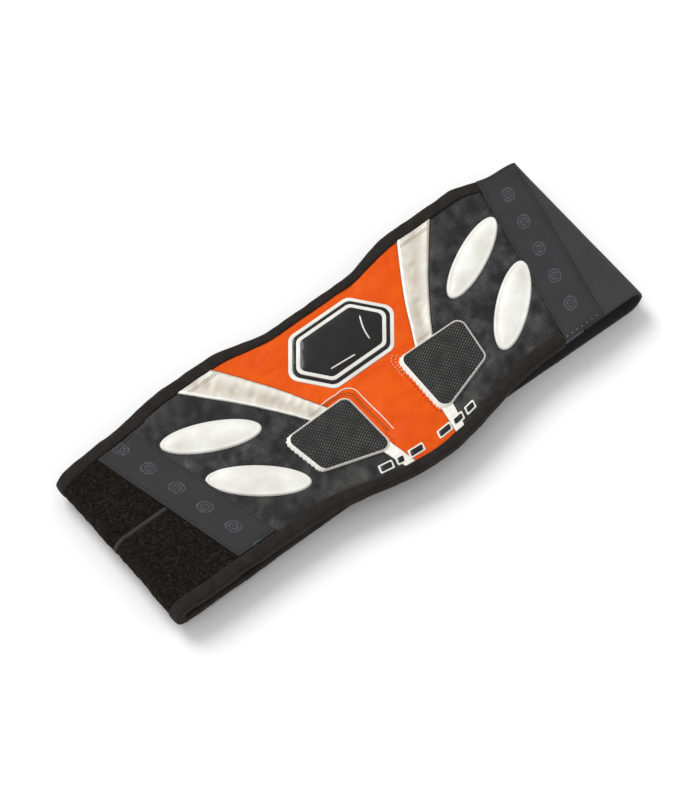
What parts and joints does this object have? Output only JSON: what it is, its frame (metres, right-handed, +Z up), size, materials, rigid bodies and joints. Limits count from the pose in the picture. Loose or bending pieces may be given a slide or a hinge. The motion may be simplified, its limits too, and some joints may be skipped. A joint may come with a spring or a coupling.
{
  "type": "kidney belt",
  "caption": "Padded lumbar (kidney) belt for riding, closed into a flattened loop: printed back panel with vents, plush wing and elastic wing with a hook closure.",
  "frame": {"origin": "centre of the belt's footprint, on the surface it lies on", "axes": "+X along the closed belt towards the elastic wing's fold, +Y towards the belt's top edge, +Z up out of the back panel's printed face"},
  "size_m": [0.526, 0.2074, 0.0343],
  "materials": {
    "orange_vinyl": "satin printed vinyl",
    "black_vinyl": "embossed satin vinyl",
    "silver_vinyl": "pearl silver",
    "white_gel": "satin",
    "black_mesh": "open woven mesh",
    "black_gloss": "gloss",
    "printed_tape": "woven tape with a printed pattern",
    "elastic": "ribbed woven elastic",
    "plush": "loop pile",
    "binding": "folded fleece tape",
    "seam_thread": "zigzag stitching",
    "foam": "closed-cell foam",
    "lining": "spacer mesh",
    "stay_plastic": "natural",
    "hook": "hook tape"
  },
  "bodies": {
    "back_panel": {"badge_base": "black_gloss", "badge_face": "black_gloss", "badge_ring": "white_gel", "binding_panel_bottom": "binding", "binding_panel_top": "binding", "binding_wing_bottom": "binding", "binding_wing_top": "binding", "centre_panel": "orange_vinyl", "elastic_top": "elastic", "end_tape_left": "printed_tape", "end_tape_right": "printed_tape", "foam_core": "foam", "lower_label": "black_gloss", "oval_pad_lower_left": "white_gel", "oval_pad_lower_right": "white_gel", "oval_pad_upper_left": "white_gel", "oval_pad_upper_right": "white_gel", "panel_lining": "lining", "plush_top_lower": "plush", "plush_top_seam": "seam_thread", "plush_top_upper": "plush", "side_panel_left": "black_vinyl", "side_panel_right": "black_vinyl", "silver_flash_left": "silver_vinyl", "silver_flash_right": "silver_vinyl", "silver_tail_left": "silver_vinyl", "silver_tail_right": "silver_vinyl", "stay_inner_left": "stay_plastic", "stay_inner_right": "stay_plastic", "stay_outer_left": "stay_plastic", "stay_outer_right": "stay_plastic", "vent_mesh_left": "black_mesh", "vent_mesh_right": "black_mesh", "vent_rim_left": "silver_vinyl", "vent_rim_right": "silver_vinyl", "wing_top_core": "foam", "wing_top_lining": "lining"},
    "right_fold": {"elastic_fold": "elastic"},
    "right_wing": {"elastic_under": "elastic"},
    "closure_seam": {"closure_seam": "binding"},
    "closure_panel": {"closure_carrier": "elastic", "grip_tape": "binding", "hook_strip_inner": "hook", "hook_strip_outer": "hook"},
    "left_fold": {"binding_fold_bottom": "binding", "binding_fold_top": "binding", "plush_fold_lower": "plush", "plush_fold_seam": "seam_thread", "plush_fold_upper": "plush", "wing_fold_core": "foam", "wing_fold_lining": "lining"},
    "left_wing": {"binding_under_bottom": "binding", "binding_under_end": "binding", "binding_under_top": "binding", "plush_under_lower": "plush", "plush_under_seam": "seam_thread", "plush_under_upper": "plush", "wing_under_core": "foam", "wing_under_lining": "lining"}
  },
  "joints": [
    {"name": "right_fold_outer", "type": "hinge", "parent": "back_panel", "child": "right_fold", "pos_m": [0.26025, 0, 0.02764], "axis": [0, -1, 0], "range_deg": [0, 90]},
    {"name": "right_fold_inner", "type": "hinge", "parent": "right_fold", "child": "right_wing", "pos_m": [0.26025, 0, 0.00276], "axis": [0, -1, 0], "range_deg": [0, 90]},
    {"name": "left_fold_outer", "type": "hinge", "parent": "back_panel", "child": "left_fold", "pos_m": [-0.25934, 0, 0.02864], "axis": [0, 1, 0], "range_deg": [0, 90]},
    {"name": "left_fold_inner", "type": "hinge", "parent": "left_fold", "child": "left_wing", "pos_m": [-0.25934, 0, 0.00856], "axis": [0, 1, 0], "range_deg": [0, 90]},
    {"name": "elastic_stretch", "type": "slide", "parent": "right_wing", "child": "closure_seam", "axis": [-1, 0, 0], "range_m": [0, 0.04], "stiffness_N_per_m": 120},
    {"name": "closure_peel", "type": "hinge", "parent": "closure_seam", "child": "closure_panel", "pos_m": [-0.05605, 0, 0], "axis": [0, -1, 0], "range_deg": [0, 75]}
  ],
  "couplings": [
    {"joint": "right_fold_inner", "follows": "right_fold_outer", "ratio": 1},
    {"joint": "left_fold_outer", "follows": "right_fold_outer", "ratio": 1},
    {"joint": "left_fold_inner", "follows": "right_fold_outer", "ratio": 1}
  ]
}
